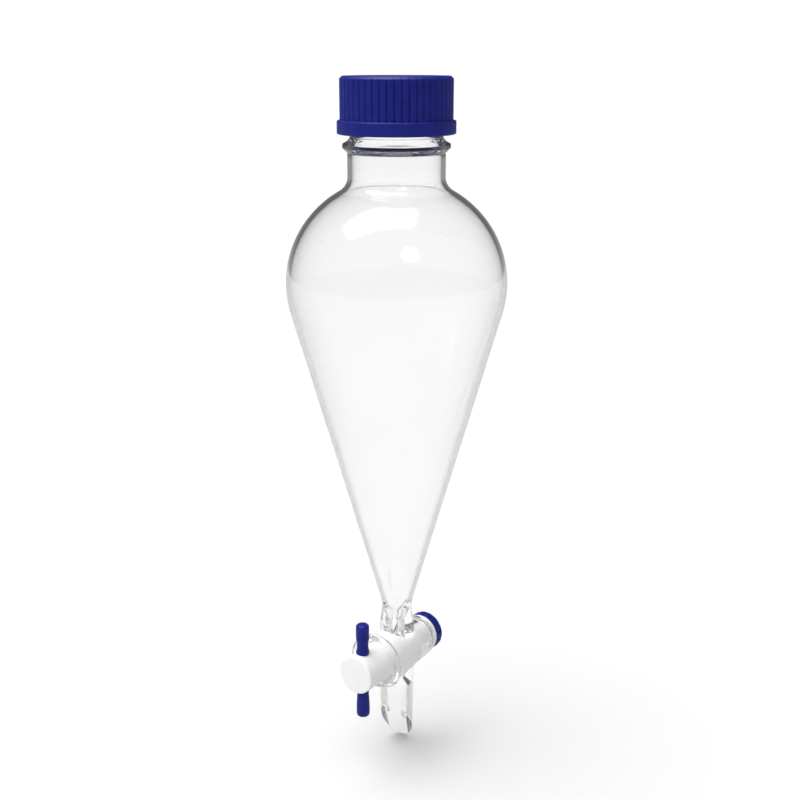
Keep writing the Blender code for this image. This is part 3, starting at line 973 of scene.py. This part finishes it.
def floor_look():
    """A white floor that looks darker along the paths which turn inside the glass."""
    look = Look("pale_floor", Specular_IOR_Level=0.2)
    path = look.add("ShaderNodeLightPath")
    turned = maths(look.tree, "GREATER_THAN", path.outputs["Glossy Depth"], 0.5)
    direct = maths(look.tree, "LESS_THAN", path.outputs["Diffuse Depth"], 0.5)
    mix = look.add("ShaderNodeMix", data_type="RGBA")
    factor, plain, dimmed = mix.inputs[0], mix.inputs[6], mix.inputs[7]
    look.link(maths(look.tree, "MULTIPLY", turned, direct), factor)
    look.link(look.ramp(look.noise(3, 2), (0.3, 0.555), (0.7, 0.561)), plain)
    dimmed.default_value = (0.55, 0.55, 0.55, 1)
    look.link(mix.outputs[2], look.shader.inputs["Base Color"])
    look.rough(look.noise(30, 3), 0.85, 0.95)
    return look.material


# ---------------------------------------------------------------- studio

# The photo's camera, fitted to the ellipses and outlines. Lengths from here on are in metres.
AZIMUTH = math.radians(35.7)
PITCH_DOWN = math.radians(15.92)
SIDE = Vector((math.cos(AZIMUTH), math.sin(AZIMUTH), 0))
TO_CAMERA = Vector((math.sin(AZIMUTH), -math.cos(AZIMUTH), 0))
UP = Vector((0, 0, 1))
CAMERA_PLACE = TO_CAMERA * 0.5549 + SIDE * 0.00156 + UP * 0.3431
LENS, SENSOR = 54.08, 36.0

# How bright the studio is. White is what shows behind the object.
WHITE = 1.02
SKY_FROM = (UP * 0.93 - SIDE * 0.3 + TO_CAMERA * 0.02).normalized()
SKY_FOCUS, SKY_PEAK, SKY_BASE = 6.0, 6.8, 0.30
WALLS_BASE, WALLS_RISE = 0.13, 0.16  # the walls are lighter below the horizon
HORIZON_TOP, HORIZON_DEPTH = 0.08, 0.16


def make_camera():
    data = bpy.data.cameras.new("camera")
    data.sensor_width = SENSOR
    data.lens = LENS
    data.clip_start = 0.01
    data.clip_end = 50
    camera = bpy.data.objects.new("camera", data)
    camera.location = CAMERA_PLACE
    camera.rotation_euler = (math.pi / 2 - PITCH_DOWN, 0, AZIMUTH)
    bpy.context.scene.collection.objects.link(camera)
    bpy.context.scene.camera = camera


def make_floor(look):
    rows = [(radius, 0.0) for radius in (0.0, 60.0, 200.0, 600.0, 2200.0)]
    floor = turned_piece("studio_floor", rows, 96, look)


def soft_card(name, place, turn, size, power, edge, shape):
    """An area light for reflections only, which fades towards its edge over a share of its size."""
    data = bpy.data.lights.new(name, "AREA")
    data.shape = shape
    data.size, data.size_y = size
    data.energy = power
    light = bpy.data.objects.new(name, data)
    light.location = place
    light.rotation_euler = turn
    light.visible_diffuse = False
    bpy.context.scene.collection.objects.link(light)

    data.use_nodes = True
    tree = data.node_tree
    emission = next(node for node in tree.nodes if node.type == "EMISSION")

    def faded(distance):
        node = add_node(tree, "ShaderNodeMapRange", interpolation_type="SMOOTHSTEP")
        node.inputs["From Max"].default_value = edge
        tree.links.new(distance, node.inputs["Value"])
        return node.outputs["Result"]

    spot = add_node(tree, "ShaderNodeSeparateXYZ")
    tree.links.new(add_node(tree, "ShaderNodeNewGeometry").outputs["Parametric"], spot.inputs[0])
    off = [maths(tree, "ABSOLUTE", maths(tree, "SUBTRACT", spot.outputs[axis], 0.5)) for axis in ("X", "Y")]
    if shape == "DISK":
        squares = [maths(tree, "MULTIPLY", distance, distance) for distance in off]
        strength = faded(maths(tree, "SUBTRACT", 0.5, maths(tree, "SQRT", maths(tree, "ADD", *squares))))
    else:
        strength = maths(tree, "MULTIPLY", *(faded(maths(tree, "SUBTRACT", 0.5, each)) for each in off))
    tree.links.new(strength, emission.inputs["Strength"])


def make_world():
    """White behind clear paths, a dimmer studio for reflections and for light that turns inside the glass."""
    world = bpy.data.worlds.new("studio")
    bpy.context.scene.world = world
    world.use_nodes = True
    tree = world.node_tree
    tree.nodes.clear()

    def background(strength):
        node = add_node(tree, "ShaderNodeBackground")
        node.inputs["Color"].default_value = (1, 1, 1, 1)
        if isinstance(strength, float):
            node.inputs["Strength"].default_value = strength
        else:
            tree.links.new(strength, node.inputs["Strength"])
        return node.outputs[0]

    def mixed(*sources):
        node = add_node(tree, "ShaderNodeMixShader")
        for source, socket in zip(sources, node.inputs):
            tree.links.new(source, socket)
        return node.outputs[0]

    direction = add_node(tree, "ShaderNodeTexCoord").outputs["Generated"]
    lit = add_node(tree, "ShaderNodeVectorMath", operation="DOT_PRODUCT")
    tree.links.new(direction, lit.inputs[0])
    lit.inputs[1].default_value = SKY_FROM
    split = add_node(tree, "ShaderNodeSeparateXYZ")
    tree.links.new(direction, split.inputs[0])

    lobe = maths(tree, "POWER", maths(tree, "MAXIMUM", lit.outputs["Value"], 0.0), SKY_FOCUS)
    sky = maths(tree, "MULTIPLY_ADD", lobe, SKY_PEAK, SKY_BASE)
    below = maths(tree, "SUBTRACT", HORIZON_TOP, split.outputs["Z"])
    low = maths(tree, "DIVIDE", below, HORIZON_DEPTH, clamp=True)
    walls = maths(tree, "MULTIPLY_ADD", low, WALLS_RISE, WALLS_BASE)

    path = add_node(tree, "ShaderNodeLightPath")
    clear = maths(tree, "LESS_THAN", path.outputs["Glossy Depth"], 0.5)
    clear = maths(tree, "MULTIPLY", clear, path.outputs["Is Transmission Ray"])
    clear = maths(tree, "MAXIMUM", clear, path.outputs["Is Camera Ray"])
    glossy = maths(tree, "GREATER_THAN", path.outputs["Glossy Depth"], 0.5)
    matt = maths(tree, "GREATER_THAN", path.outputs["Diffuse Depth"], 0.5)
    glossy = maths(tree, "MULTIPLY", glossy, maths(tree, "SUBTRACT", 1.0, matt))
    shade = mixed(clear, mixed(glossy, background(sky), background(walls)), background(WHITE))
    tree.links.new(shade, add_node(tree, "ShaderNodeOutputWorld").inputs["Surface"])


def make_studio():
    """The view transform, the light bounces, the world and the two cards."""
    scene = bpy.context.scene
    scene.view_settings.view_transform = "Standard"
    scene.view_settings.look = "None"
    scene.view_settings.exposure = 0.0
    scene.cycles.max_bounces = 32
    scene.cycles.transmission_bounces = 28
    scene.cycles.glossy_bounces = 12
    scene.cycles.diffuse_bounces = 4
    scene.cycles.transparent_max_bounces = 32
    scene.cycles.caustics_reflective = False
    scene.cycles.caustics_refractive = False
    make_world()
    place = TO_CAMERA * 0.1 - SIDE * 0.45 + UP * 1.6
    soft_card("overhead_card", place, (0, 0, AZIMUTH), (1.9, 0.85), 40, 0.3, "RECTANGLE")
    place = TO_CAMERA * 1.05 + SIDE * 0.33 + UP * 1.2
    turn = (UP * 0.24 - place).to_track_quat("-Z", "Y").to_euler()
    soft_card("round_card", place, turn, (0.56, 0.56), 6, 0.45, "DISK")


# ---------------------------------------------------------------- the scene

glass = glass_look()
blue = blue_look()
ptfe = ptfe_look()
make_camera()
make_studio()
make_floor(floor_look())
make_glass(glass)
make_cap(blue)
make_liner(silicone_look(), ptfe)
make_plug(ptfe)
make_handle(blue)
make_washer(ptfe)
make_o_ring(rubber_look())
make_nut(blue)
